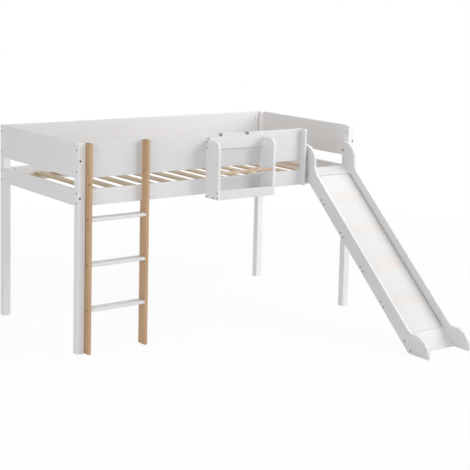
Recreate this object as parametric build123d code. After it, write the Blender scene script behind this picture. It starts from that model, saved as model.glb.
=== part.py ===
"""Half-height loft bed of white boards and posts, with a pine ladder, a slide and a hanging shelf.

Millimetres, +Z up. The bed is laid out from the outer foot of its front left post: +X runs along
the bed, +Y towards the back, and the ladder and the slide stand at negative Y. At the end every
piece moves so that the origin is the middle of the whole footprint, on the floor.
"""
import os
from math import cos, radians, sin, tan

from build123d import *

# Bed: overall sizes, square posts and the two bands of boards round them
bed_length = 2060.0
bed_width = 1000.0
bed_height = 1216.0
post_side = 48.0
post_edge_radius = 4.0
board = 18.0
board_edge_radius = 3.0
panel_height = 203.0
rail_height = 94.0
band_gap = 64.0
end_setback = 3.0
entry_width = 380.0
guard_reach = 44.0

# Slats on ledgers inside the long rails
slat_count = 15
slat_width = 60.0
slat_thickness = 10.0
slat_left_gap = 70.0
slat_right_gap = 47.0
slat_side_gap = 2.0
slat_drop = 45.0
ledger_width = 22.0
ledger_height = 20.0
ledger_end_gap = 2.0
ledger_screw_count = 6

# Ladder
ladder_width = 398.0
ladder_stock = 20.0
ladder_reach = 54.0
ladder_post_gap = 2.0
rung_count = 3
rung_depth = 64.0
rung_first_height = 247.0
top_rung_drop = 66.0

# Slide
slide_width = 354.0
slide_post_gap = 6.0
incline = 42.5
cheek_width = 94.0
cheek_reach = 102.0
crown_rise = 164.0
crown_radius = 100.0
hang_rise = 15.0
knee_run = 53.5
toe_run = 165.0
toe_height = 118.0
toe_radius = 115.0
toe_hollow_radius = 60.0
shoulder_radius = 110.0
deck_rise = 36.0
deck_thickness = 8.0
deck_side_gap = 2.0
seam_gap = 1.0
batten_count = 4
batten_width = 60.0
batten_thickness = 20.0
batten_low_margin = 333.0
batten_high_margin = 171.0

# Hanging shelf
shelf_width = 432.0
shelf_board = 16.0
shelf_depth = 132.0
shelf_height = 353.0
shelf_top_drop = 29.0
shelf_place_share = 0.556
shelf_corner_radius = 48.0
shelf_lip_height = 56.0
shelf_batten_height = 78.0
shelf_batten_rise = 15.0
dowel_diameter = 16.0
dowel_height = 162.0
dowel_setback = 15.0
hook_spacing = 200.0
hook_shift = -9.0
hook_width = 20.0
hook_thickness = 2.0
hook_drop = 25.0
hook_lap = 40.0
hook_screw_length = 12.0

# Fittings
bolt_diameter = 6.0
bolt_head_diameter = 11.0
bolt_head_height = 5.0
bolt_socket = 5.0
counterbore_diameter = 13.0
counterbore_depth = 7.0
nut_diameter = 10.0
nut_length = 14.0
nut_setback = 37.0
nut_slot = 1.2
screw_diameter = 4.0
screw_head_diameter = 10.0
screw_slot = 1.0
fit_gap = 0.1
rest_gap = 0.3
overrun = 1.0

# Heights and planes that several pieces share
panel_bottom = bed_height - panel_height
rail_top = panel_bottom - band_gap
rail_bottom = rail_top - rail_height
side_setback = (post_side - board) / 2
front_face = side_setback
front_inner = side_setback + board
back_inner = bed_width - front_inner
left_inner = end_setback + board
right_inner = bed_length - left_inner
right_post = bed_length - post_side
guard_right = right_post - entry_width
guard_left = guard_right - board

pieces = {}
cuts = {}
bolts = []
nuts = []


def slab(x0, x1, y0, y1, z0, z1):
    """A block between two corners."""
    middle = Pos((x0 + x1) / 2, (y0 + y1) / 2, (z0 + z1) / 2)
    return middle * Box(x1 - x0, y1 - y0, z1 - z0)


def eased(part, axis, radius):
    """The part with every straight edge along one axis rounded."""
    return fillet(part.edges().filter_by(axis), radius)


def cut(name, *tools):
    """Note material to take out of a named piece; the cuts are made together at the end."""
    cuts.setdefault(name, []).extend(tools)


def rod(point, direction, start, end, diameter):
    """A round rod on a line from a point, between two distances along it."""
    frame = Plane(origin=point, z_dir=direction)
    low = (Align.CENTER, Align.CENTER, Align.MIN)
    return frame * Pos(0, 0, start) * Cylinder(diameter / 2, end - start, align=low)


# Screws: one pattern of each length, with a flush cone head and a cross recess
def screw_pattern(length, diameter=screw_diameter, head=screw_head_diameter):
    """A countersunk wood screw that points along +Z, its head flush at zero."""
    low = (Align.CENTER, Align.CENTER, Align.MIN)
    taper = (head - diameter) / 2
    cone = Pos(0, 0, fit_gap) * Cone(head / 2, diameter / 2, taper, align=low)
    shank = Pos(0, 0, fit_gap) * Cylinder(diameter / 2, length - fit_gap, align=low)
    bar = Box(head / 2, screw_slot, taper + fit_gap)
    cross = bar + Rot(0, 0, 90) * bar
    return cone + shank - cross


def screw_hole(length, diameter=screw_diameter, head=screw_head_diameter):
    """The hole that such a screw fills, with its countersink."""
    low = (Align.CENTER, Align.CENTER, Align.MIN)
    taper = (head - diameter) / 2
    wide = head / 2 + fit_gap
    cone = Cone(wide, diameter / 2 + fit_gap, taper + fit_gap, align=low)
    mouth = Cylinder(wide, overrun, align=(Align.CENTER, Align.CENTER, Align.MAX))
    bore = Cylinder(diameter / 2 + fit_gap, length + fit_gap, align=low)
    return cone + mouth + bore


def drive(group, names, points, direction, length):
    """Drive like screws at several points, through or into the named pieces."""
    solid = screw_pattern(length)
    hole = screw_hole(length)
    for point in points:
        frame = Plane(origin=point, z_dir=direction)
        group.append(frame * solid)
        for name in names:
            cut(name, frame * hole)


# Frame bolts: a socket head sunk in a post, and a barrel nut let into the board's inner face
bolt_length = post_side - counterbore_depth + nut_setback + nut_diameter


def sunk_bolt(point, direction, tip):
    """A bolt with its head sunk in a post's outer face and its end at tip."""
    head_start = counterbore_depth - bolt_head_height
    head = rod(point, direction, head_start, counterbore_depth, bolt_head_diameter)
    shank = rod(point, direction, counterbore_depth, tip, bolt_diameter)
    socket_start = Plane(origin=point, z_dir=direction) * Pos(0, 0, head_start)
    socket = socket_start * extrude(RegularPolygon(bolt_socket / 2, 6), bolt_head_height / 2)
    return head + shank - socket


def bolt_post(post, member, point, direction, across):
    """Bolt a board's end to a post from the post's outer face; across is the nut's way in."""
    tip = counterbore_depth + bolt_length
    reach = post_side + nut_setback
    bolts.append(sunk_bolt(point, direction, tip))
    cut(post, rod(point, direction, -overrun, counterbore_depth, counterbore_diameter))
    for name in (post, member):
        cut(name, rod(point, direction, 0, tip + fit_gap, bolt_diameter + 2 * fit_gap))
    middle = Vector(*point) + Vector(*direction) * reach
    face = middle - Vector(*across) * (board / 2)
    nut = rod(face, across, 0, nut_length, nut_diameter)
    eye = rod(point, direction, 0, tip + fit_gap, bolt_diameter + 2 * fit_gap)
    groove = Plane(origin=face, z_dir=across) * Box(nut_diameter, nut_slot, nut_slot)
    nuts.append(nut - eye - groove)
    cut(member, rod(face, across, -overrun, nut_length, nut_diameter + 2 * fit_gap))


# Posts: four square legs, drilled alike for the bolts of both bands
post_places = {
    "front_left": (0, 0),
    "front_right": (right_post, 0),
    "back_left": (0, bed_width - post_side),
    "back_right": (right_post, bed_width - post_side),
}
for corner, (x, y) in post_places.items():
    post = slab(x, x + post_side, y, y + post_side, 0, bed_height)
    post = eased(post, Axis.Z, post_edge_radius)
    top_edges = post.faces().sort_by(Axis.Z)[-1].edges()
    pieces["post_" + corner] = fillet(top_edges, post_edge_radius / 2)


# End boards: a deep panel and a rail at each end, between the posts
def end_board(x, z0, z1):
    """A board across the bed, its outer face a little behind the posts' faces."""
    return eased(slab(x, x + board, post_side, bed_width - post_side, z0, z1), Axis.Y, board_edge_radius)


for side, x in (("left", end_setback), ("right", right_inner)):
    pieces["end_panel_" + side] = end_board(x, panel_bottom, bed_height)
    pieces["end_rail_" + side] = end_board(x, rail_bottom, rail_top)


# Long boards: the back ones run from post to post; the front panel stops at the slide's entry
def long_board(x1, y, z0, z1):
    """A board along the bed, from the left post to x1, centred in the posts."""
    return eased(slab(post_side, x1, y, y + board, z0, z1), Axis.X, board_edge_radius)


pieces["back_panel"] = long_board(right_post, back_inner, panel_bottom, bed_height)
pieces["back_rail"] = long_board(right_post, back_inner, rail_bottom, rail_top)
pieces["front_panel"] = long_board(guard_right, front_face, panel_bottom, bed_height)
pieces["front_rail"] = long_board(right_post, front_face, rail_bottom, rail_top)

# Bolts of the long boards: two at each board's end, set in from its edges
bolt_inset_share = 0.2
panel_bolt_inset = panel_height * bolt_inset_share
rail_bolt_inset = rail_height * bolt_inset_share
panel_bolt_heights = (bed_height - panel_bolt_inset, panel_bottom + panel_bolt_inset)
rail_bolt_heights = (rail_top - rail_bolt_inset, rail_bottom + rail_bolt_inset)
for side, centre, inward in (("front", post_side / 2, -1), ("back", bed_width - post_side / 2, 1)):
    for end, x, way in (("left", 0, 1), ("right", bed_length, -1)):
        post = "post_" + side + "_" + end
        for height in panel_bolt_heights:
            if (side, end) != ("front", "right"):
                bolt_post(post, side + "_panel", (x, centre, height), (way, 0, 0), (0, inward, 0))
        for height in rail_bolt_heights:
            bolt_post(post, side + "_rail", (x, centre, height), (way, 0, 0), (0, inward, 0))

# The entry post is drilled for a panel too, like the other three: its upper hole stays empty, and
# its lower one takes the slide's bolt
entry_holes = [(bed_length, post_side / 2, height) for height in panel_bolt_heights]
for start in entry_holes:
    cut("post_front_right", rod(start, (-1, 0, 0), -overrun, post_side + overrun, bolt_diameter))
    cut("post_front_right", rod(start, (-1, 0, 0), -overrun, counterbore_depth, counterbore_diameter))

# Bolts of the end boards: one at the middle of each board's end
panel_middle = panel_bottom + panel_height / 2
rail_middle = rail_bottom + rail_height / 2
for end, x, inward in (("left", left_inner - board / 2, -1), ("right", right_inner + board / 2, 1)):
    for side, y, way in (("front", 0, 1), ("back", bed_width, -1)):
        post = "post_" + side + "_" + end
        for band, height in (("panel", panel_middle), ("rail", rail_middle)):
            bolt_post(post, "end_" + band + "_" + end, (x, y, height), (0, way, 0), (inward, 0, 0))

# Guard board: an upright on the front panel's free end, down to the rail's underside
guard_front = front_face - guard_reach
guard_corner_radius = 12.0
guard = slab(guard_left, guard_right, guard_front, front_face, rail_bottom, bed_height)
front_corners = guard.edges().filter_by(Axis.X).sort_by(Axis.Y)[:2]
guard = fillet(front_corners, guard_corner_radius)
guard_rim = guard.faces().sort_by(Axis.X)[0].edges() + guard.faces().sort_by(Axis.X)[-1].edges()
guard_rim = [edge for edge in guard_rim if edge.center().Y < front_face - fit_gap]
pieces["guard_board"] = fillet(guard_rim, board_edge_radius)

# Ledgers: a strip inside each long rail, screwed on from within the bed
slat_top = rail_top - slat_drop
ledger_top = slat_top - slat_thickness
ledger_bottom = ledger_top - ledger_height
ledger_left = post_side + ledger_end_gap
ledger_right = right_post - ledger_end_gap
slat_screws = []
screw_bite_share = 0.65
for side, y in (("front", front_inner), ("back", back_inner - ledger_width)):
    name = "slat_ledger_" + side
    strip = slab(ledger_left, ledger_right, y, y + ledger_width, ledger_bottom, ledger_top)
    pieces[name] = eased(strip, Axis.X, board_edge_radius / 2)
    face_y = y + ledger_width if side == "front" else y
    way = (0, -1, 0) if side == "front" else (0, 1, 0)
    pitch = (ledger_right - ledger_left) / ledger_screw_count
    first = ledger_left + pitch / 2
    middle = ledger_bottom + ledger_height / 2
    places = [(first + k * pitch, face_y, middle) for k in range(ledger_screw_count)]
    drive(slat_screws, (name, side + "_rail"), places, way, ledger_width + board * screw_bite_share)

# Slats: spread evenly between the two end gaps, one screw in each end
slat_front = front_inner + slat_side_gap
slat_back = back_inner - slat_side_gap
slat_run = right_inner - left_inner - slat_left_gap - slat_right_gap - slat_width
slat_pitch = slat_run / (slat_count - 1)
slat_screw_inset = ledger_width / 2 - slat_side_gap
slat_screw_length = slat_thickness + ledger_height * screw_bite_share
for k in range(slat_count):
    name = "slat_%02d" % (k + 1)
    x = left_inner + slat_left_gap + k * slat_pitch
    slat = slab(x, x + slat_width, slat_front, slat_back, ledger_top, slat_top)
    pieces[name] = eased(slat, Axis.Y, board_edge_radius)
    middle = x + slat_width / 2
    for y, ledger in ((slat_front + slat_screw_inset, "front"), (slat_back - slat_screw_inset, "back")):
        names = (name, "slat_ledger_" + ledger)
        drive(slat_screws, names, [(middle, y, slat_top)], (0, 0, -1), slat_screw_length)

# Ladder: two pine uprights, stepped to stand under and against the front boards
ladder_left = post_side + ladder_post_gap
ladder_right = ladder_left + ladder_width - ladder_stock
ladder_front = front_face - ladder_reach
for side, x in (("left", ladder_left), ("right", ladder_right)):
    profile = Polyline(
        (ladder_front, 0),
        (front_inner, 0),
        (front_inner, rail_bottom),
        (front_face, rail_bottom),
        (front_face, bed_height),
        (ladder_front, bed_height),
        close=True,
    )
    upright = Pos(x, 0, 0) * extrude(Plane.YZ * make_face(profile), ladder_stock)
    front_edges = upright.edges().filter_by(Axis.Z).group_by(Axis.Y)[0]
    upright = fillet(front_edges, board_edge_radius)
    lower_back = upright.edges().filter_by(Axis.Z).group_by(Axis.Y)[-1]
    pieces["ladder_rail_" + side] = fillet(lower_back, board_edge_radius)

# Rungs: three white treads between the uprights, screwed through them
ladder_screws = []
rung_top_limit = rail_bottom - top_rung_drop - ladder_stock
rung_pitch = (rung_top_limit - rung_first_height) / (rung_count - 1)
rung_screw_place_share = 0.25
rung_front = ladder_front + (ladder_reach + board - rung_depth) / 2
rung_screw_offset = rung_depth * rung_screw_place_share
rung_middle_y = rung_front + rung_depth / 2
rung_screw_share = 3.0
rung_screw_length = ladder_stock * rung_screw_share
for k in range(rung_count):
    name = "ladder_rung_%d" % (k + 1)
    z = rung_first_height + k * rung_pitch
    tread = slab(
        ladder_left + ladder_stock, ladder_right, rung_front, rung_front + rung_depth, z, z + ladder_stock
    )
    pieces[name] = eased(tread, Axis.X, board_edge_radius * 2)
    for x, way, rail in ((ladder_left, 1, "left"), (ladder_right + ladder_stock, -1, "right")):
        ys = (rung_middle_y - rung_screw_offset, rung_middle_y + rung_screw_offset)
        places = [(x, y, z + ladder_stock / 2) for y in ys]
        drive(ladder_screws, (name, "ladder_rail_" + rail), places, (way, 0, 0), rung_screw_length)

# Board screws: flush screws from inside the bed hold the ladder, the guard board and the slide
mount_screws = []
mount_screw_length = board + ladder_reach * screw_bite_share
for name, x in (
    ("ladder_rail_left", ladder_left + ladder_stock / 2),
    ("ladder_rail_right", ladder_right + ladder_stock / 2),
    ("guard_board", (guard_left + guard_right) / 2),
):
    panel_place = [(x, front_inner, panel_middle)]
    rail_place = [(x, front_inner, rail_middle)]
    drive(mount_screws, (name, "front_panel"), panel_place, (0, -1, 0), mount_screw_length)
    drive(mount_screws, (name, "front_rail"), rail_place, (0, -1, 0), mount_screw_length)

# Slide: where its side boards run, seen from the side as depth and height
slide_right = right_post - slide_post_gap
slide_left = slide_right - slide_width
slope = radians(incline)
hang_height = rail_bottom + hang_rise
knee_y = front_face - knee_run
foot_y = knee_y - hang_height / tan(slope)
cheek_front = front_face - cheek_reach
crown_top = rail_top + crown_rise
toe_front = foot_y - toe_run


def above_edge(y, rise):
    """Height, at a depth, of the line that lies a given rise square above the lower edge."""
    return (y - foot_y) * tan(slope) + rise / cos(slope)


def depth_at(height, rise):
    """Depth at which that line reaches a height."""
    return foot_y + (height - rise / cos(slope)) / tan(slope)


# Slide cheeks: rounded crown with a tail over the rail, straight board down the incline, and a
# rounded foot on the floor
crown_corner = (cheek_front, crown_top)
shoulder = (cheek_front, above_edge(cheek_front, cheek_width))
hollow = (depth_at(toe_height, cheek_width), toe_height)
toe_corner = (toe_front, toe_height)
cheek_line = Polyline(
    (front_face, hang_height),
    (knee_y, hang_height),
    (foot_y, 0),
    (toe_front, 0),
    toe_corner,
    hollow,
    shoulder,
    crown_corner,
    (front_inner, crown_top),
    (front_inner, rail_top),
    (front_face, rail_top),
    close=True,
)
cheek_face = make_face(cheek_line)
for corner, radius in (
    (toe_corner, toe_radius),
    (hollow, toe_hollow_radius),
    (shoulder, shoulder_radius),
    (crown_corner, crown_radius),
):
    vertex = cheek_face.vertices().sort_by_distance(corner)[0]
    cheek_face = fillet(vertex, radius)
for side, x in (("left", slide_left), ("right", slide_right - board)):
    cheek = Pos(x, 0, 0) * extrude(Plane.YZ * cheek_face, board)
    rim = cheek.faces().sort_by(Axis.X)[0].edges() + cheek.faces().sort_by(Axis.X)[-1].edges()
    before_rail = [edge for edge in rim if fit_gap < edge.center().Z < rail_top + fit_gap]
    before_rail = [edge for edge in before_rail if edge.center().Y < front_face - fit_gap]
    over_rail = [edge for edge in rim if edge.center().Z > rail_top + fit_gap]
    pieces["slide_cheek_" + side] = fillet(before_rail + over_rail, board_edge_radius)


# Slide boards between the cheeks, drawn from the side and pushed out to the inner width
def crossing(p, p_way, q, q_way):
    """Where two lines in the side view meet, each given by a point and a direction."""
    span = p_way[0] * q_way[1] - p_way[1] * q_way[0]
    share = ((q[0] - p[0]) * q_way[1] - (q[1] - p[1]) * q_way[0]) / span
    return (p[0] + share * p_way[0], p[1] + share * p_way[1])


def offset(p, way, distance):
    """A point moved along a direction in the side view."""
    return (p[0] + way[0] * distance, p[1] + way[1] * distance)


def between_cheeks(points, gap=fit_gap):
    """A board whose side view is the given outline, with a gap to the cheek at each end."""
    outline = make_face(Polyline(*points, close=True))
    inner_width = slide_width - 2 * board - 2 * gap
    return Pos(slide_left + board + gap, 0, 0) * extrude(Plane.YZ * outline, inner_width)


down = (-cos(slope), -sin(slope))
square = (-sin(slope), cos(slope))

# Top board: a threshold that leans from just above the rail down to its rounded nose
threshold_rise = 7.0
nose_run = 71.0
nose_fall = 37.0
nose_radius = 6.0
threshold_length = (nose_run**2 + nose_fall**2) ** 0.5
nose_down = (-nose_run / threshold_length, -nose_fall / threshold_length)
nose_square = (-nose_fall / threshold_length, nose_run / threshold_length)
threshold_back = (front_face, rail_top + threshold_rise)
nose = (front_face - nose_run, rail_top + threshold_rise - nose_fall)
nose_under = offset(nose, nose_square, -board)
threshold_under = crossing(nose_under, nose_down, (front_face, 0), (0, 1))
threshold = between_cheeks([threshold_back, nose, nose_under, threshold_under])
nose_edge = threshold.edges().filter_by(Axis.X).sort_by_distance((slide_left, *nose))[0]
pieces["slide_top_board"] = fillet(nose_edge, nose_radius)

# Deck: the thin sliding panel, from the threshold's nose to the seam above the toe board
deck_start = offset((foot_y, 0), square, deck_rise)
deck_under_start = offset(deck_start, square, -deck_thickness)
seam_drop_share = 0.64
seam_height = toe_height - deck_rise * seam_drop_share
seam = (depth_at(seam_height, deck_rise), seam_height)
deck_head = crossing(deck_start, down, nose, nose_square)
deck_head_under = crossing(deck_under_start, down, nose, nose_square)
deck_foot = offset(seam, down, -seam_gap)
deck_foot_under = offset(deck_foot, square, -deck_thickness)
pieces["slide_deck"] = between_cheeks([deck_head, deck_foot, deck_foot_under, deck_head_under], deck_side_gap)

# Toe board: a thicker board that carries the slope on from the deck's end down to the floor
toe_floor_gap = 2.0
toe_high_back = offset(seam, square, -board)
toe_low = crossing(seam, down, (0, toe_floor_gap), (1, 0))
toe_low_back = crossing(toe_high_back, down, (0, toe_floor_gap), (1, 0))
toe_board = between_cheeks([seam, toe_low, toe_low_back, toe_high_back])
seam_edge = toe_board.edges().filter_by(Axis.X).sort_by_distance((slide_left, *seam))[0]
pieces["slide_toe_board"] = fillet(seam_edge, seam_gap)

# Cross battens: pine strips under the deck, two screws through each cheek into each end
slide_screws = []
board_screw_share = 2.5
slide_screw_length = board * board_screw_share
batten_screw_share = 0.29
batten_screw_offset = batten_width * batten_screw_share
slope_length = hang_height / sin(slope)
batten_pitch = (slope_length - batten_low_margin - batten_high_margin) / (batten_count - 1)
batten_top = deck_rise - deck_thickness


def on_slope(run, rise):
    """The point a run up the lower edge and a rise square above it."""
    return offset(offset((foot_y, 0), down, -run), square, rise)


def slide_screw_places(points):
    """Both cheeks' outer faces at the given side-view points."""
    left = [(slide_left, y, z) for y, z in points]
    right = [(slide_right, y, z) for y, z in points]
    return left, right


for k in range(batten_count):
    name = "slide_batten_%d" % (k + 1)
    run = batten_low_margin + k * batten_pitch
    low, high = run - batten_width / 2, run + batten_width / 2
    base = batten_top - batten_thickness
    lower_corners = [on_slope(low, base), on_slope(high, base)]
    upper_corners = [on_slope(high, batten_top), on_slope(low, batten_top)]
    strip = between_cheeks(lower_corners + upper_corners)
    pieces[name] = eased(strip, Axis.X, board_edge_radius / 2)
    middle = batten_top - batten_thickness / 2
    screws = [on_slope(run - batten_screw_offset, middle), on_slope(run + batten_screw_offset, middle)]
    left, right = slide_screw_places(screws)
    drive(slide_screws, (name, "slide_cheek_left"), left, (1, 0, 0), slide_screw_length)
    drive(slide_screws, (name, "slide_cheek_right"), right, (-1, 0, 0), slide_screw_length)

# Screws of the toe board and the top board, in the middle of each board's thickness
toe_middle = offset(seam, square, -board / 2)
toe_length = (seam_height - toe_floor_gap) / sin(slope)
toe_screw_shares = (0.24, 0.735)
toe_screws = [offset(toe_middle, down, toe_length * share) for share in toe_screw_shares]
left, right = slide_screw_places(toe_screws)
drive(slide_screws, ("slide_toe_board", "slide_cheek_left"), left, (1, 0, 0), slide_screw_length)
drive(slide_screws, ("slide_toe_board", "slide_cheek_right"), right, (-1, 0, 0), slide_screw_length)
threshold_screw_share = 0.32
threshold_place = offset(nose, nose_down, -threshold_length * threshold_screw_share)
left, right = slide_screw_places([offset(threshold_place, nose_square, -board / 2)])
drive(slide_screws, ("slide_top_board", "slide_cheek_left"), left, (1, 0, 0), slide_screw_length)
drive(slide_screws, ("slide_top_board", "slide_cheek_right"), right, (-1, 0, 0), slide_screw_length)

# The front rail holds each cheek with two screws, clear of the rail's own bolts
cheek_screw_share = 0.125
cheek_screw_offset = rail_height * cheek_screw_share
cheek_screw_heights = (rail_middle - cheek_screw_offset, rail_middle + cheek_screw_offset)
cheek_screw_length = board + cheek_reach / 2
for name, x in (
    ("slide_cheek_left", slide_left + board / 2),
    ("slide_cheek_right", slide_right - board / 2),
):
    places = [(x, front_inner, height) for height in cheek_screw_heights]
    drive(mount_screws, (name, "front_rail"), places, (0, -1, 0), cheek_screw_length)

# Slide bolt: from the entry post's lower hole, through the right cheek, into a flat cap nut inside it
cap_nut_head = 13.0
cap_nut_rise = 1.5
cap_nut_sleeve = 12.0
hole = entry_holes[-1]
to_slide = (-1, 0, 0)
cheek_inside = post_side + slide_post_gap + board
bolts.append(sunk_bolt(hole, to_slide, cheek_inside - fit_gap))
cap = rod(hole, to_slide, cheek_inside, cheek_inside + cap_nut_rise, cap_nut_head)
sleeve = rod(hole, to_slide, cheek_inside - cap_nut_sleeve, cheek_inside, nut_diameter)
bolt_way = rod(hole, to_slide, 0, cheek_inside, bolt_diameter + 2 * fit_gap)
bolts.append(cap + sleeve - bolt_way)
sleeve_start = cheek_inside - cap_nut_sleeve - fit_gap
sleeve_way = rod(hole, to_slide, sleeve_start, cheek_inside + overrun, nut_diameter + 2 * fit_gap)
cut("post_front_right", bolt_way)
cut("slide_cheek_right", bolt_way, sleeve_way)

# Hanging shelf: two cheeks, a floor with a front lip, a back batten and a pine dowel
shelf_room = guard_left - (ladder_left + ladder_width)
shelf_centre = ladder_left + ladder_width + shelf_room * shelf_place_share
shelf_left = shelf_centre - shelf_width / 2
shelf_right = shelf_centre + shelf_width / 2
shelf_back = front_face - rest_gap
shelf_front = shelf_back - shelf_depth
shelf_top = bed_height - shelf_top_drop
shelf_bottom = shelf_top - shelf_height
shelf_edge_radius = 2.0
shelf_screws = []
for side, x in (("left", shelf_left), ("right", shelf_right - shelf_board)):
    cheek = slab(x, x + shelf_board, shelf_front, shelf_back, shelf_bottom, shelf_top)
    crown = cheek.edges().filter_by(Axis.X).sort_by_distance((x, shelf_front, shelf_top))[0]
    cheek = fillet(crown, shelf_corner_radius)
    rim = cheek.faces().sort_by(Axis.X)[0].edges() + cheek.faces().sort_by(Axis.X)[-1].edges()
    rim = [edge for edge in rim if edge.center().Y < shelf_back - fit_gap]
    pieces["shelf_cheek_" + side] = fillet(rim, shelf_edge_radius)

inner_left = shelf_left + shelf_board + fit_gap
inner_right = shelf_right - shelf_board - fit_gap
lip_back = shelf_front + shelf_board
floor_top = shelf_bottom + shelf_board
batten_peak = shelf_top + shelf_batten_rise
batten_bottom = batten_peak - shelf_batten_height
batten_front = shelf_back - shelf_board
lip = slab(inner_left, inner_right, shelf_front, lip_back, shelf_bottom, shelf_bottom + shelf_lip_height)
floor = slab(inner_left, inner_right, lip_back, shelf_back, shelf_bottom, floor_top)
batten = slab(inner_left, inner_right, batten_front, shelf_back, batten_bottom, batten_peak)
pieces["shelf_front_lip"] = eased(lip, Axis.X, shelf_edge_radius)
pieces["shelf_floor"] = eased(floor, Axis.X, shelf_edge_radius / 2)
pieces["shelf_back_batten"] = eased(batten, Axis.X, shelf_edge_radius)

# The dowel sits in a blind hole in each cheek
dowel_depth = shelf_board / 2
dowel_left = shelf_left + shelf_board - dowel_depth
dowel_start = (dowel_left, shelf_front + dowel_setback, shelf_bottom + dowel_height)
dowel_run = shelf_width - 2 * shelf_board + 2 * dowel_depth
pieces["shelf_dowel"] = rod(dowel_start, (1, 0, 0), 0, dowel_run, dowel_diameter)
dowel_hole = rod(dowel_start, (1, 0, 0), -fit_gap, dowel_run + fit_gap, dowel_diameter + 2 * fit_gap)
cut("shelf_cheek_left", dowel_hole)
cut("shelf_cheek_right", dowel_hole)

# Shelf screws: two into each end of the batten and the lip, and two into each end of the floor
shelf_screw_length = shelf_board * board_screw_share
shelf_screw_share = 0.27
batten_lap = shelf_top - batten_bottom
batten_screw_gap = batten_lap * shelf_screw_share
batten_middle = batten_bottom + batten_lap / 2
lip_screw_gap = shelf_lip_height * shelf_screw_share
lip_middle = shelf_bottom + shelf_lip_height / 2
floor_middle = shelf_bottom + shelf_board / 2
floor_screw_shares = (0.3, 0.85)
end_places = {
    "shelf_back_batten": [
        (shelf_back - shelf_board / 2, batten_middle - batten_screw_gap),
        (shelf_back - shelf_board / 2, batten_middle + batten_screw_gap),
    ],
    "shelf_front_lip": [
        (shelf_front + shelf_board / 2, lip_middle - lip_screw_gap),
        (shelf_front + shelf_board / 2, lip_middle + lip_screw_gap),
    ],
    "shelf_floor": [
        (lip_back + (shelf_back - lip_back) * share, floor_middle) for share in floor_screw_shares
    ],
}
for name, points in end_places.items():
    left = [(shelf_left, y, z) for y, z in points]
    right = [(shelf_right, y, z) for y, z in points]
    drive(shelf_screws, (name, "shelf_cheek_left"), left, (1, 0, 0), shelf_screw_length)
    drive(shelf_screws, (name, "shelf_cheek_right"), right, (-1, 0, 0), shelf_screw_length)

# Hooks: two bent steel strips over the front panel's edge, let into the batten's back and screwed to it
hook_top = bed_height + rest_gap + hook_thickness
hook_back = front_inner + rest_gap + hook_thickness
hook_front = shelf_back - hook_thickness
hook_low = batten_peak - hook_lap
hook_line = Polyline(
    (hook_front, hook_low),
    (shelf_back, hook_low),
    (shelf_back, bed_height + rest_gap),
    (front_inner + rest_gap, bed_height + rest_gap),
    (front_inner + rest_gap, bed_height - hook_drop),
    (hook_back, bed_height - hook_drop),
    (hook_back, hook_top),
    (hook_front, hook_top),
    close=True,
)
hook_face = Plane.YZ * make_face(hook_line)
hooks = []
for way in (-1, 1):
    x = shelf_centre + hook_shift + way * hook_spacing / 2
    strip = Pos(x - hook_width / 2, 0, 0) * extrude(hook_face, hook_width)
    frame = Plane(origin=(x, shelf_back, hook_low + hook_lap / 2), z_dir=(0, -1, 0))
    hooks.append(strip - frame * screw_hole(hook_screw_length))
    shelf_screws.append(frame * screw_pattern(hook_screw_length))
    half = hook_width / 2 + fit_gap
    recess_low = hook_low - fit_gap
    recess = slab(x - half, x + half, hook_front, shelf_back + overrun, recess_low, batten_peak + overrun)
    cut("shelf_back_batten", recess, frame * screw_hole(hook_screw_length))

# Make the noted cuts, add the groups of like fittings, and move all to the shared origin
for name, tools in cuts.items():
    pieces[name] = pieces[name] - tools
groups = {
    "frame_bolts": bolts,
    "barrel_nuts": nuts,
    "slat_screws": slat_screws,
    "ladder_screws": ladder_screws,
    "mount_screws": mount_screws,
    "slide_screws": slide_screws,
    "shelf_hooks": hooks,
    "shelf_screws": shelf_screws,
}
for name, members in groups.items():
    pieces[name] = Compound([solid for member in members for solid in member.solids()])

os.makedirs("parts", exist_ok=True)
to_origin = Pos(-bed_length / 2, -(toe_front + bed_width) / 2, 0)
for name, piece in pieces.items():
    export_step(to_origin * piece, "parts/" + name + ".step")
print(len(pieces), "pieces; slide reaches", round(-toe_front, 1), "in front of the posts")
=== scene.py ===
"""Looks of a loft bed with white boards, pine slats and ladder, a slide and a hanging shelf."""

from math import cos, radians, sin

import bpy
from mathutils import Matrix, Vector


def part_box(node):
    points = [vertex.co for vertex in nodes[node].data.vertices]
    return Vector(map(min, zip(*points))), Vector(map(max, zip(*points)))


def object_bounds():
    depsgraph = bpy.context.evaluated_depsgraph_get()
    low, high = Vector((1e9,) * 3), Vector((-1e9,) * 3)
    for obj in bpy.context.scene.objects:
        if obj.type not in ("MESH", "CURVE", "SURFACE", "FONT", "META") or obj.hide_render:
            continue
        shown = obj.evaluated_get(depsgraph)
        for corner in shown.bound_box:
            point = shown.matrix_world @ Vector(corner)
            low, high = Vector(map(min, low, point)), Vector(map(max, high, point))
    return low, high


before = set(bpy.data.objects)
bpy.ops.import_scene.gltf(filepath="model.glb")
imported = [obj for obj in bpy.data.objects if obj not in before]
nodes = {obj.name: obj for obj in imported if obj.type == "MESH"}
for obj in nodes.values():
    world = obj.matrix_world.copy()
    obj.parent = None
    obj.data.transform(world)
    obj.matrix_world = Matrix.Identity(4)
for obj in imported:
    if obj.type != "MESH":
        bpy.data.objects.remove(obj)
cad_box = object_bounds()


# White posts and boards
# The four posts and the boards between them are solid wood under a satin white lacquer. The lacquer
# levels most of the grain and leaves a faint one; its eased edges get a painted highlight.
def feed(tree, node, inputs):
    """Feed a node's inputs with plain values or with other nodes' outputs."""
    for name, value in inputs.items():
        if isinstance(value, bpy.types.NodeSocket):
            tree.links.new(value, node.inputs[name])
        else:
            node.inputs[name].default_value = value


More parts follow.
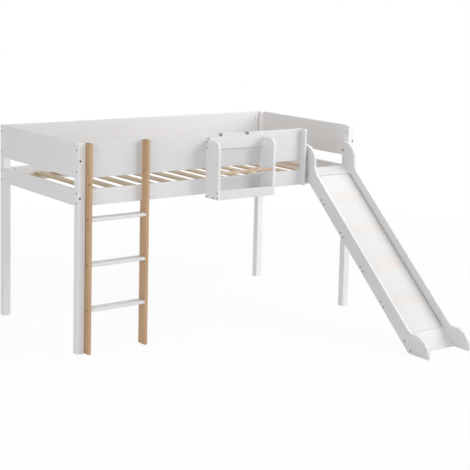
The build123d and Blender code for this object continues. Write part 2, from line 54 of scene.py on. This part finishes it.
def put(tree, kind, inputs=None, **settings):
    """Add one shader node with its settings and inputs."""
    node = tree.nodes.new("ShaderNode" + kind)
    for name, value in settings.items():
        setattr(node, name, value)
    feed(tree, node, inputs or {})
    return node


def calculate(tree, operation, first, second=0.0):
    """The output of one sum."""
    return put(tree, "Math", {0: first, 1: second}, operation=operation).outputs[0]


def ramp(tree, value, low, high, to_low=0.0, to_high=1.0):
    """A smooth step of a value between two limits."""
    ends = {"From Min": low, "From Max": high, "To Min": to_low, "To Max": to_high}
    step = put(tree, "MapRange", {"Value": value, **ends}, interpolation_type="SMOOTHSTEP")
    return step.outputs[0]


def measure(tree, operation, first, second=(0.0, 0.0, 0.0)):
    """The one number that a sum of two vectors gives, such as their distance."""
    return put(tree, "VectorMath", {0: first, 1: second}, operation=operation).outputs["Value"]


def move(tree, operation, first, second):
    """The vector that a sum of two vectors gives."""
    return put(tree, "VectorMath", {0: first, 1: second}, operation=operation).outputs["Vector"]


def stretch(tree, place, scale):
    """A pattern's place, scaled by itself along each direction."""
    return put(tree, "Mapping", {"Vector": place, "Scale": scale}).outputs[0]


def noise(tree, place, scale, detail, roughness=0.5):
    """The output of a cloudy pattern."""
    cloud = {"Vector": place, "Scale": scale, "Detail": detail, "Roughness": roughness}
    return put(tree, "TexNoise", cloud).outputs["Fac"]


def blend_colour(tree, share, first, second):
    """The output of a colour mix from the first colour to the second."""
    return put(tree, "Mix", {0: share, 6: first, 7: second}, data_type="RGBA").outputs[2]


def start_group(name, takes, gives):
    """A new group of shader nodes with named inputs and outputs: its tree and its two end nodes."""
    tree = bpy.data.node_groups.new(name, "ShaderNodeTree")
    for socket, (kind, value) in takes.items():
        made = tree.interface.new_socket(socket, in_out="INPUT", socket_type="NodeSocket" + kind)
        if value is not None:
            made.default_value = value
    for socket, kind in gives.items():
        tree.interface.new_socket(socket, in_out="OUTPUT", socket_type="NodeSocket" + kind)
    return tree, tree.nodes.new("NodeGroupInput"), tree.nodes.new("NodeGroupOutput")


# Edge mask for real wear and for painted highlights: how far the surface turns within a given
# radius, broken up so that it isn't a line
likeness_range = (0.999, 0.86)
edge_patch_range = (0.30, 0.62)
least_edge_share = 0.6
edge_wear_and_highlight, given, result = start_group(
    "edge_wear_and_highlight",
    {"Radius": ("Float", 0.004), "Break Up": ("Float", 90.0)},
    {"Edge": "Float"},
)
rounded = put(edge_wear_and_highlight, "Bevel", {"Radius": given.outputs["Radius"]}, samples=6).outputs[0]
facing = put(edge_wear_and_highlight, "NewGeometry").outputs["Normal"]
likeness = measure(edge_wear_and_highlight, "DOT_PRODUCT", rounded, facing)
turned = ramp(edge_wear_and_highlight, likeness, *likeness_range)
spot = put(edge_wear_and_highlight, "TexCoord").outputs["Object"]
patches = noise(edge_wear_and_highlight, spot, given.outputs["Break Up"], detail=3.0)
broken = ramp(edge_wear_and_highlight, patches, *edge_patch_range, least_edge_share, 1.0)
feed(edge_wear_and_highlight, result, {"Edge": calculate(edge_wear_and_highlight, "MULTIPLY", turned, broken)})

# Lacquer over wood: stretched fibres that show through, slow clouds in the white, fine orange peel
fibre_stretch = (5.0, 150.0, 150.0)
cloud_scale = 4.5
peel_scale = 700.0
peel_share = 0.35
lacquer_film, given, result = start_group(
    "lacquer_film",
    {"Vector": ("Vector", None), "Grain": ("Float", 1.0)},
    {"Cloud": "Float", "Fibre": "Float", "Height": "Float"},
)
spot = given.outputs["Vector"]
stretched = stretch(lacquer_film, spot, fibre_stretch)
fibres = noise(lacquer_film, stretched, 1.0, detail=4.0, roughness=0.6)
clouds = noise(lacquer_film, spot, cloud_scale, detail=3.0)
peel = noise(lacquer_film, spot, peel_scale, detail=1.0)
shown = calculate(lacquer_film, "MULTIPLY", fibres, given.outputs["Grain"])
fine = calculate(lacquer_film, "MULTIPLY", peel, peel_share)
height = calculate(lacquer_film, "ADD", shown, fine)
feed(lacquer_film, result, {"Cloud": clouds, "Fibre": fibres, "Height": height})

# How a pattern's own length is turned on to each direction that a board can run in
incline = radians(42.5)
quarter = radians(90)
along = {
    "X": (0.0, 0.0, 0.0),
    "Y": (0.0, 0.0, quarter),
    "Z": (0.0, -quarter, 0.0),
    "slope": (0.0, -incline, quarter),
}


def board_place(tree, way, centre=(0.0, 0.0, 0.0)):
    """Object coordinates measured from a centre, with the first one along the board."""
    spot = put(tree, "TexCoord").outputs["Object"]
    turn = {"Vector": spot, "Location": centre, "Rotation": along[way]}
    return put(tree, "Mapping", turn, vector_type="TEXTURE").outputs[0]


def start_material(name):
    """A new material: its tree and its main shader."""
    material = bpy.data.materials.new(name)
    material.use_nodes = True
    tree = material.node_tree
    return material, tree, tree.nodes["Principled BSDF"]


joint_painted_shade = (0.30, 0.30, 0.31, 1)


def darken_ends(tree, colour, low, high, reach, strength):
    """Painted shade in the joints at a board's two ends, along X."""
    spot = put(tree, "TexCoord").outputs["Object"]
    across = put(tree, "SeparateXYZ", {"Vector": spot}).outputs["X"]
    from_low = calculate(tree, "SUBTRACT", across, low)
    from_ends = calculate(tree, "MINIMUM", from_low, calculate(tree, "SUBTRACT", high, across))
    return blend_colour(tree, ramp(tree, from_ends, reach, 0.0, 0.0, strength), colour, joint_painted_shade)


hole_painted_shade = (0.03, 0.03, 0.032, 1)
hole_rim = 0.0048
hole_wall = 0.0035


def darken_hole(tree, colour, y, z):
    """Painted shade inside a hole that runs along X at a depth and a height."""
    spot = put(tree, "TexCoord").outputs["Object"]
    flat = move(tree, "MULTIPLY", spot, (0.0, 1.0, 1.0))
    away = measure(tree, "DISTANCE", flat, (0.0, y, z))
    return blend_colour(tree, ramp(tree, away, hole_rim, hole_wall), colour, hole_painted_shade)


# What all the lacquer has in common: its blue, its cloudy parts, its sheen and the painted
# highlight on its edges
white_blue = 0.004
cloudy_share = (0.975, 0.975, 0.985)
cloudy_range = (0.10, 0.45)
cloud_range = (0.3, 0.7)
lit_top_range = (0.45, 0.65)
board_grain = 0.6
satin_roughness = (0.47, 0.38)
edge_highlight_white = (0.96, 0.96, 0.955, 1)
edge_highlight_share = 0.85
edge_sheen = 0.1
lacquer_bump = {"Strength": 0.09, "Distance": 0.0003}
lacquer_coat = {"Coat Weight": 0.12, "Coat Roughness": 0.25}


def white_lacquer(name, way, level, edge_reach=0.004, lit_top_white=None, ends=None, hole=None):
    """Satin white lacquer on a board that runs one way.

    The lit top white is painted light on upward faces; the ends and the hole get painted shade.
    """
    material, tree, shader = start_material(name)
    spot = board_place(tree, way)
    film = put(tree, "Group", {"Vector": spot, "Grain": board_grain}, node_tree=lacquer_film)
    edge = put(tree, "Group", {"Radius": edge_reach}, node_tree=edge_wear_and_highlight).outputs["Edge"]
    mottle = calculate(tree, "MULTIPLY", film.outputs["Cloud"], film.outputs["Fibre"])
    white = (level, level, level + white_blue, 1)
    cloudy = tuple(level * share for share in cloudy_share) + (1,)
    colour = blend_colour(tree, ramp(tree, mottle, *cloudy_range), cloudy, white)
    # Painted highlight: the eased edges are blended towards a lighter white.
    edge_highlight = calculate(tree, "MULTIPLY", edge, edge_highlight_share)
    colour = blend_colour(tree, edge_highlight, colour, edge_highlight_white)
    # Painted light: upward faces are blended towards a brighter white.
    if lit_top_white:
        facing = put(tree, "NewGeometry").outputs["Normal"]
        upward = put(tree, "SeparateXYZ", {"Vector": facing}).outputs["Z"]
        colour = blend_colour(tree, ramp(tree, upward, *lit_top_range), colour, (lit_top_white, lit_top_white, lit_top_white, 1))
    if ends:
        colour = darken_ends(tree, colour, *ends)
    if hole:
        colour = darken_hole(tree, colour, *hole)
    rough = ramp(tree, film.outputs["Cloud"], *cloud_range, *satin_roughness)
    rough = calculate(tree, "SUBTRACT", rough, calculate(tree, "MULTIPLY", edge, edge_sheen))
    bump = put(tree, "Bump", {"Height": film.outputs["Height"], **lacquer_bump}).outputs[0]
    feed(tree, shader, {"Base Color": colour, "Roughness": rough, "Normal": bump, **lacquer_coat})
    return material


def dress(material, *names):
    """Give CAD nodes a material in all their slots."""
    for name in names:
        for slot in nodes[name].material_slots:
            slot.material = material


# The posts take a lighter white than the boards, and the far right post a lighter one still, as
# painted light.
white_post = white_lacquer("white_post", "Z", level=0.88)
far_post_painted_light = white_lacquer("far_post_painted_light", "Z", level=0.96)
dress(white_post, "post_front_left", "post_back_left")
dress(far_post_painted_light, "post_back_right")

white_long = white_lacquer("white_long", "X", level=0.83)
white_across = white_lacquer("white_across", "Y", level=0.85)
white_guard = white_lacquer("white_guard", "Z", level=0.77)
dress(white_long, "back_rail", "front_rail")
dress(white_across, "end_panel_left", "end_panel_right", "end_rail_left", "end_rail_right")
dress(white_guard, "guard_board")

# The two long panels get a line of painted shade at the posts: how far it reaches and how dark it
# is
back_joint = (0.012, 0.85)
front_joint = (0.006, 0.6)
back_low, back_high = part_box("back_panel")
front_low, front_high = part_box("front_panel")
back_ends = (back_low[0], back_high[0], *back_joint)
front_ends = (front_low[0], front_high[0], *front_joint)
dress(white_lacquer("white_back", "X", level=0.83, ends=back_ends), "back_panel")
# The front panel takes a darker white than the back panel, as painted shade.
dress(white_lacquer("front_panel_painted_shade", "X", level=0.765, ends=front_ends), "front_panel")

# The front right post keeps one empty bolt hole, a fifth of the panel's height below the top
# Its inside gets painted shade.
hole_inset_share = 0.2
entry_low, entry_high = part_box("post_front_right")
hole_y = (entry_low[1] + entry_high[1]) / 2
hole_z = entry_high[2] - (front_high[2] - front_low[2]) * hole_inset_share
dress(white_lacquer("white_entry_post", "Z", level=0.87, hole=(hole_y, hole_z)), "post_front_right")

# Slats and ledgers
# Planed pine boards with a thin matt lacquer, laid across the bed on two pine strips. Each board
# has a number that says where in the log it was cut, so each has its own growth rings and knots.
log_spread = (9.0, 0.10, 0.05)
pith_offset = (0.0, -0.05, 0.02)
waver_scale = (1.6, 5.0, 5.0)
patch_scale = 2.3
knot_scale = (4.0, 14.0, 14.0)
fibre_scale = (14.0, 520.0, 520.0)
knot_range = (0.17, 0.08)
swirl_range = (0.45, 0.05)
late_range = (0.35, 0.97)
ring_waver = 0.035
knot_bend = 0.010
pine_figure, given, result = start_group(
    "pine_figure",
    {
        "Vector": ("Vector", None),
        "Board": ("Float", 0.0),
        "Ring Gap": ("Float", 0.0045),
        "Knots": ("Float", 0.8),
    },
    {"Late": "Float", "Fibre": "Float", "Knot": "Float", "Patch": "Float"},
)
lot = put(pine_figure, "TexWhiteNoise", {"W": given.outputs["Board"]}, noise_dimensions="1D")
in_log = move(pine_figure, "MULTIPLY", lot.outputs["Color"], log_spread)
pith = move(pine_figure, "ADD", in_log, pith_offset)
spot = move(pine_figure, "ADD", given.outputs["Vector"], pith)
slow = stretch(pine_figure, spot, waver_scale)
waver = noise(pine_figure, slow, 1.0, detail=2.0)
patch = noise(pine_figure, slow, patch_scale, detail=2.0)
streaks = stretch(pine_figure, spot, fibre_scale)
fibre = noise(pine_figure, streaks, 1.0, detail=3.0, roughness=0.65)

# Knots: a few cells of a cell pattern, each with the rings drawn round it
cells = stretch(pine_figure, spot, knot_scale)
knots = put(pine_figure, "TexVoronoi", {"Vector": cells, "Scale": 1.0})
chance = put(pine_figure, "SeparateColor", {"Color": knots.outputs["Color"]}).outputs["Red"]
kept = calculate(pine_figure, "GREATER_THAN", chance, given.outputs["Knots"])
away = knots.outputs["Distance"]
knot = calculate(pine_figure, "MULTIPLY", ramp(pine_figure, away, *knot_range), kept)
swirl = calculate(pine_figure, "MULTIPLY", ramp(pine_figure, away, *swirl_range), kept)

# Growth rings: the distance from the pith, bent by the waver and the knots, in steps of the gap
radius = measure(pine_figure, "LENGTH", stretch(pine_figure, spot, (0.0, 1.0, 1.0)))
for cause, reach in ((waver, ring_waver), (swirl, knot_bend)):
    bend = calculate(pine_figure, "MULTIPLY", cause, reach)
    radius = calculate(pine_figure, "ADD", radius, bend)
rings = calculate(pine_figure, "DIVIDE", radius, given.outputs["Ring Gap"])
late = ramp(pine_figure, calculate(pine_figure, "FRACT", rings), *late_range)
feed(pine_figure, result, {"Late": late, "Fibre": fibre, "Knot": knot, "Patch": patch})


def tint(colour, share):
    """A colour made paler or darker, and still opaque."""
    return tuple(min(1.0, part * share) for part in colour[:3]) + (1,)


# What all the pine has in common: its pale patches and edges, its knots, its cut ends and its sheen
pale_tint = 1.10
knot_tint = 0.38
end_tint = 0.50
knot_strength = 0.85
end_strength = 0.85
edge_pale_share = 0.30
matt_roughness = (0.56, 0.46)
fibre_range = (0.35, 0.70)
fibre_strength = 0.45
patch_range = (0.35, 0.75)
patch_strength = 0.40
end_range = (0.75, 0.9)
small_knot_range = (0.010, 0.005)
pine_edge = {"Radius": 0.0025, "Break Up": 60.0}
pine_bump = {"Strength": 0.22, "Distance": 0.0004}
board_ways = {"X": (1, 0, 0), "Y": (0, 1, 0), "Z": (0, 0, 1)}


def pine(name, way, centre, board, early, late, knots=0.8, contrast=0.55, lone_knot=None):
    """Clear lacquered pine for one board, with dark rings on its cut ends."""
    material, tree, shader = start_material(name)
    from_log = {"Vector": board_place(tree, way, centre), "Board": board, "Knots": knots}
    figure = put(tree, "Group", from_log, node_tree=pine_figure)
    pale = tint(early, pale_tint)
    late_share = calculate(tree, "MULTIPLY", figure.outputs["Late"], contrast)
    wood = blend_colour(tree, late_share, early, late)
    streaks = ramp(tree, figure.outputs["Fibre"], *fibre_range, 0.0, fibre_strength)
    wood = blend_colour(tree, streaks, wood, late)
    patches = ramp(tree, figure.outputs["Patch"], *patch_range, 0.0, patch_strength)
    wood = blend_colour(tree, patches, wood, pale)
    knot = figure.outputs["Knot"]
    if lone_knot:
        spot = put(tree, "TexCoord").outputs["Object"]
        away = measure(tree, "DISTANCE", spot, lone_knot)
        knot = calculate(tree, "MAXIMUM", knot, ramp(tree, away, *small_knot_range))
    knot = calculate(tree, "MULTIPLY", knot, knot_strength)
    wood = blend_colour(tree, knot, wood, tint(late, knot_tint))
    facing = put(tree, "NewGeometry").outputs["Normal"]
    towards = calculate(tree, "ABSOLUTE", measure(tree, "DOT_PRODUCT", facing, board_ways[way]))
    end_grain = ramp(tree, towards, *end_range, 0.0, end_strength)
    wood = blend_colour(tree, end_grain, wood, tint(late, end_tint))
    edge = put(tree, "Group", pine_edge, node_tree=edge_wear_and_highlight).outputs["Edge"]
    wood = blend_colour(tree, calculate(tree, "MULTIPLY", edge, edge_pale_share), wood, pale)
    rough = ramp(tree, figure.outputs["Late"], 0.0, 1.0, *matt_roughness)
    relief = calculate(tree, "ADD", figure.outputs["Late"], figure.outputs["Fibre"])
    bump = put(tree, "Bump", {"Height": relief, **pine_bump}).outputs[0]
    feed(tree, shader, {"Base Color": wood, "Roughness": rough, "Normal": bump})
    return material


def middle_of(name):
    """The middle of a CAD node's box."""
    low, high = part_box(name)
    return tuple((low + high) / 2)


slat_early = (0.60, 0.475, 0.335, 1)
slat_late = (0.46, 0.31, 0.18, 1)
first_slat_board = 1.0
first_ledger_board = 31.0
slat_count = sum(name.startswith("slat_") and name[5:].isdigit() for name in nodes)
for k in range(slat_count):
    slat = "slat_%02d" % (k + 1)
    board = first_slat_board + k
    dress(pine(slat + "_pine", "Y", middle_of(slat), board, slat_early, slat_late), slat)
for k, ledger in enumerate(("slat_ledger_front", "slat_ledger_back")):
    board = first_ledger_board + k
    dress(pine(ledger + "_pine", "X", middle_of(ledger), board, slat_early, slat_late), ledger)

# Ladder
# Two upright pine boards, warmer than the slats, with three white lacquered rungs screwed between
# them. The left board shows a small dark knot on its outer side.
ladder_early = (0.60, 0.40, 0.235, 1)
ladder_late = (0.47, 0.27, 0.13, 1)
ladder_knots = 0.97
ladder_contrast = 0.4
first_ladder_board = 51.0
knot_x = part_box("ladder_rail_left")[0][0]
knot_y = 0.0425
knot_z = 0.9835
small_knots = {"left": (knot_x, knot_y, knot_z), "right": None}
for k, side in enumerate(("left", "right")):
    upright = "ladder_rail_" + side
    ladder_pine = pine(
        upright + "_pine",
        "Z",
        middle_of(upright),
        first_ladder_board + k,
        ladder_early,
        ladder_late,
        ladder_knots,
        ladder_contrast,
        small_knots[side],
    )
    dress(ladder_pine, upright)
dress(white_long, "ladder_rung_1", "ladder_rung_2", "ladder_rung_3")

# Slide
# White side boards, top board and toe board, and a thin smooth deck. The pine strips under the
# deck show through it as faint warm bands, because the deck is a thin coated board.
# Its upward faces get painted light, and its edges a wider painted highlight.
white_slope = white_lacquer("white_slope", "slope", level=0.77, edge_reach=0.006, lit_top_white=0.93)
dress(white_slope, "slide_cheek_left", "slide_cheek_right")
dress(white_lacquer("white_toe", "X", level=0.88), "slide_toe_board")
dress(white_lacquer("white_top", "X", level=0.78), "slide_top_board")
first_batten_board = 71.0
batten_count = sum(name.startswith("slide_batten_") for name in nodes)
battens = ["slide_batten_%d" % (k + 1) for k in range(batten_count)]
for k, batten in enumerate(battens):
    board = first_batten_board + k
    dress(pine(batten + "_pine", "X", middle_of(batten), board, slat_early, slat_late), batten)

deck_grain = 0.15
deck_dull = (0.83, 0.83, 0.832, 1)
deck_white = (0.845, 0.845, 0.845, 1)
deck_warm = (0.86, 0.785, 0.735, 1)
band_core = 0.018
band_reach = 0.066
band_share = 0.75
least_band = 0.35
uneven_scale = 7.0
uneven_range = (0.2, 0.7)
deck_joint = (0.012, 0.8)
deck_roughness = (0.38, 0.34)
deck_bump = {"Strength": 0.08, "Distance": 0.0003}
deck_gloss = {"Coat Weight": 0.2, "Coat Roughness": 0.2}
deck_coat, tree, shader = start_material("deck_coat")
spot = board_place(tree, "slope")
film = put(tree, "Group", {"Vector": spot, "Grain": deck_grain}, node_tree=lacquer_film)
run = put(tree, "SeparateXYZ", {"Vector": spot}).outputs["X"]
bands = 0.0
for batten in battens:
    x, y, z = middle_of(batten)
    batten_run = y * cos(incline) + z * sin(incline)
    away = calculate(tree, "ABSOLUTE", calculate(tree, "SUBTRACT", run, batten_run))
    band = ramp(tree, away, band_reach, band_core)
    bands = calculate(tree, "MAXIMUM", bands, band)
uneven = noise(tree, spot, uneven_scale, detail=2.0)
uneven = ramp(tree, uneven, *uneven_range, least_band, 1.0)
bands = calculate(tree, "MULTIPLY", bands, uneven)
colour = blend_colour(tree, film.outputs["Cloud"], deck_dull, deck_white)
colour = blend_colour(tree, calculate(tree, "MULTIPLY", bands, band_share), colour, deck_warm)
deck_low, deck_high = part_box("slide_deck")
# Painted shade in the joints along the deck's two side edges, by the cheeks.
colour = darken_ends(tree, colour, deck_low[0], deck_high[0], *deck_joint)
rough = ramp(tree, film.outputs["Cloud"], *cloud_range, *deck_roughness)
bump = put(tree, "Bump", {"Height": film.outputs["Height"], **deck_bump}).outputs[0]
feed(tree, shader, {"Base Color": colour, "Roughness": rough, "Normal": bump, **deck_gloss})
dress(deck_coat, "slide_deck")

# Hanging shelf
# A small white open box with rounded side boards and a pine dowel as a stop for books. It hangs on
# the front panel by two bent steel hooks.
dress(white_post, "shelf_cheek_left", "shelf_cheek_right")
white_shelf = white_lacquer("white_shelf", "X", level=0.79)
dress(white_shelf, "shelf_front_lip", "shelf_floor", "shelf_back_batten")
dowel_early = (0.66, 0.50, 0.35, 1)
dowel_board = 91.0
dowel_knots = 0.99
dowel_contrast = 0.3
dowel_pine = pine(
    "dowel_pine",
    "X",
    middle_of("shelf_dowel"),
    dowel_board,
    dowel_early,
    slat_late,
    dowel_knots,
    dowel_contrast,
)
dress(dowel_pine, "shelf_dowel")

# Fittings
# Socket-head bolts, barrel nuts, countersunk screws and the shelf's hooks are zinc-plated or
# blackened steel, with the fine scratches of a driver and dull patches in the plating.
steel_edge = {"Radius": 0.0006, "Break Up": 400.0}
steel_bump = {"Strength": 0.15, "Distance": 0.0001}
dull_scale = 260.0
scratch_scale = (120.0, 2400.0, 2400.0)
dull_range = (0.35, 0.7)
scratch_range = (0.3, 0.7)
scratch_smoother = 0.08
scratch_rougher = 0.1
rub_share = 1.7
rub_lift = 0.05
rub_strength = 0.7


def steel(name, colour, dull, roughness, metallic):
    """Plated or blackened steel, mottled, with bright wear on its edges."""
    material, tree, shader = start_material(name)
    spot = put(tree, "TexCoord").outputs["Object"]
    mottle = noise(tree, spot, dull_scale, detail=4.0)
    scratches = noise(tree, stretch(tree, spot, scratch_scale), 1.0, detail=2.0)
    plated = blend_colour(tree, ramp(tree, mottle, *dull_range), colour, dull)
    edge = put(tree, "Group", steel_edge, node_tree=edge_wear_and_highlight).outputs["Edge"]
    bright = tuple(min(1.0, part * rub_share + rub_lift) for part in colour[:3]) + (1,)
    rubbed = blend_colour(tree, calculate(tree, "MULTIPLY", edge, rub_strength), plated, bright)
    smooth, coarse = roughness - scratch_smoother, roughness + scratch_rougher
    rough = ramp(tree, scratches, *scratch_range, smooth, coarse)
    bump = put(tree, "Bump", {"Height": scratches, **steel_bump}).outputs[0]
    feed(tree, shader, {"Base Color": rubbed, "Roughness": rough, "Normal": bump})
    feed(tree, shader, {"Metallic": metallic})
    return material


zinc_bright = (0.46, 0.46, 0.47, 1)
zinc_dull = (0.34, 0.34, 0.35, 1)
oxide_black = (0.035, 0.035, 0.038, 1)
oxide_deep = (0.02, 0.02, 0.022, 1)
hook_grey = (0.24, 0.24, 0.245, 1)
hook_dull = (0.17, 0.17, 0.175, 1)
zinc_plate = steel("zinc_plate", zinc_bright, zinc_dull, roughness=0.38, metallic=1.0)
black_oxide = steel("black_oxide", oxide_black, oxide_deep, roughness=0.55, metallic=0.3)
hook_steel = steel("hook_steel", hook_grey, hook_dull, roughness=0.45, metallic=0.6)
dress(zinc_plate, "barrel_nuts", "slat_screws", "mount_screws")
dress(black_oxide, "frame_bolts", "ladder_screws", "slide_screws", "shelf_screws")
dress(hook_steel, "shelf_hooks")


# Studio
# A pale floor that fades to plain white, an even white room, and five soft lamps. The key lamp and
# the side lamp stand to the right of the front, where the photograph's light comes from.
def seen_directly(tree):
    """One where the camera or a mirrored or clear surface looks on, and zero elsewhere."""
    path = put(tree, "LightPath").outputs
    mirrored = calculate(tree, "MAXIMUM", path["Is Glossy Ray"], path["Is Transmission Ray"])
    return calculate(tree, "MAXIMUM", path["Is Camera Ray"], mirrored)


plain_white = (1, 1, 1, 1)
floor_reach = 60.0
floor_grey = (0.94, 0.94, 0.942, 1)
fade_start = 1.6
fade_end = 5.0
white_share = 0.94
bpy.ops.mesh.primitive_plane_add(size=2 * floor_reach, location=(0, 0, 0))
floor = bpy.context.object
floor.name = "studio_floor"
floor_paint, tree, shader = start_material("floor_paint")
feed(tree, shader, {"Base Color": floor_grey, "Roughness": 0.9, "Specular IOR Level": 0.1})
spot = put(tree, "TexCoord").outputs["Object"]
clear = ramp(tree, measure(tree, "LENGTH", spot), fade_start, fade_end, white_share, 1.0)
glow = put(tree, "Emission", {"Color": plain_white, "Strength": 1.0}).outputs[0]
share = calculate(tree, "MULTIPLY", clear, seen_directly(tree))
mixed = put(tree, "MixShader", {0: share, 1: shader.outputs[0], 2: glow}).outputs[0]
feed(tree, tree.nodes["Material Output"], {"Surface": mixed})
floor.data.materials.append(floor_paint)

room_light = 0.48
room_white = (0.985, 0.99, 1.0, 1)
world = bpy.data.worlds.new("studio_room")
bpy.context.scene.world = world
world.use_nodes = True
tree = world.node_tree
room = tree.nodes["Background"]
feed(tree, room, {"Color": room_white, "Strength": room_light})
backdrop = put(tree, "Background", {"Color": plain_white, "Strength": 1.0}).outputs[0]
mixed = put(tree, "MixShader", {0: seen_directly(tree), 1: room.outputs[0], 2: backdrop}).outputs[0]
feed(tree, tree.nodes["World Output"], {"Surface": mixed})

# Each lamp: where it stands, what it faces, its width in metres and its power in watts
bed_middle = (cad_box[0] + cad_box[1]) / 2
inner_side = Vector((0.2, 0.2, 0.8))
slide_side = Vector((0.6, 0.4, 0.4))
back_boards = Vector((0.3, 0.6, 1.0))
lamps = {
    "key_lamp": ((4.6, -5.4, 4.0), bed_middle, 2.4, 150.0),
    "side_lamp": ((5.2, -2.6, 2.6), inner_side, 1.6, 50.0),
    "fill_lamp": ((-5.0, -3.0, 2.5), bed_middle, 3.0, 64.0),
    "low_lamp": ((2.6, -3.2, 0.8), slide_side, 1.6, 3.0),
    "inner_lamp": ((1.0, 0.1, 2.4), back_boards, 1.4, 9.0),
}
for name, (location, target, size, power) in lamps.items():
    lamp = bpy.data.lights.new(name, "AREA")
    lamp.size = size
    lamp.energy = power
    holder = bpy.data.objects.new(name, lamp)
    bpy.context.scene.collection.objects.link(holder)
    holder.location = location
    towards = target - holder.location
    holder.rotation_euler = towards.to_track_quat("-Z", "Y").to_euler()

# Camera
# It stands to the left of the front, a little above the bed. Its place, turn and lens were fitted
# to the edges of the posts and boards in the photograph.
camera_data = bpy.data.cameras.new("photo_camera")
camera = bpy.data.objects.new("photo_camera", camera_data)
bpy.context.scene.collection.objects.link(camera)
camera.location = (-4.2708, -5.7587, 2.1109)
camera.rotation_euler = (radians(82.6), radians(-1.4145), radians(-36.36))
camera_data.sensor_width = 36.0
camera_data.lens = 91.772
camera_data.shift_y = -0.1996
camera_data.clip_end = 200.0
bpy.context.scene.camera = camera
bpy.context.scene.view_settings.view_transform = "Standard"
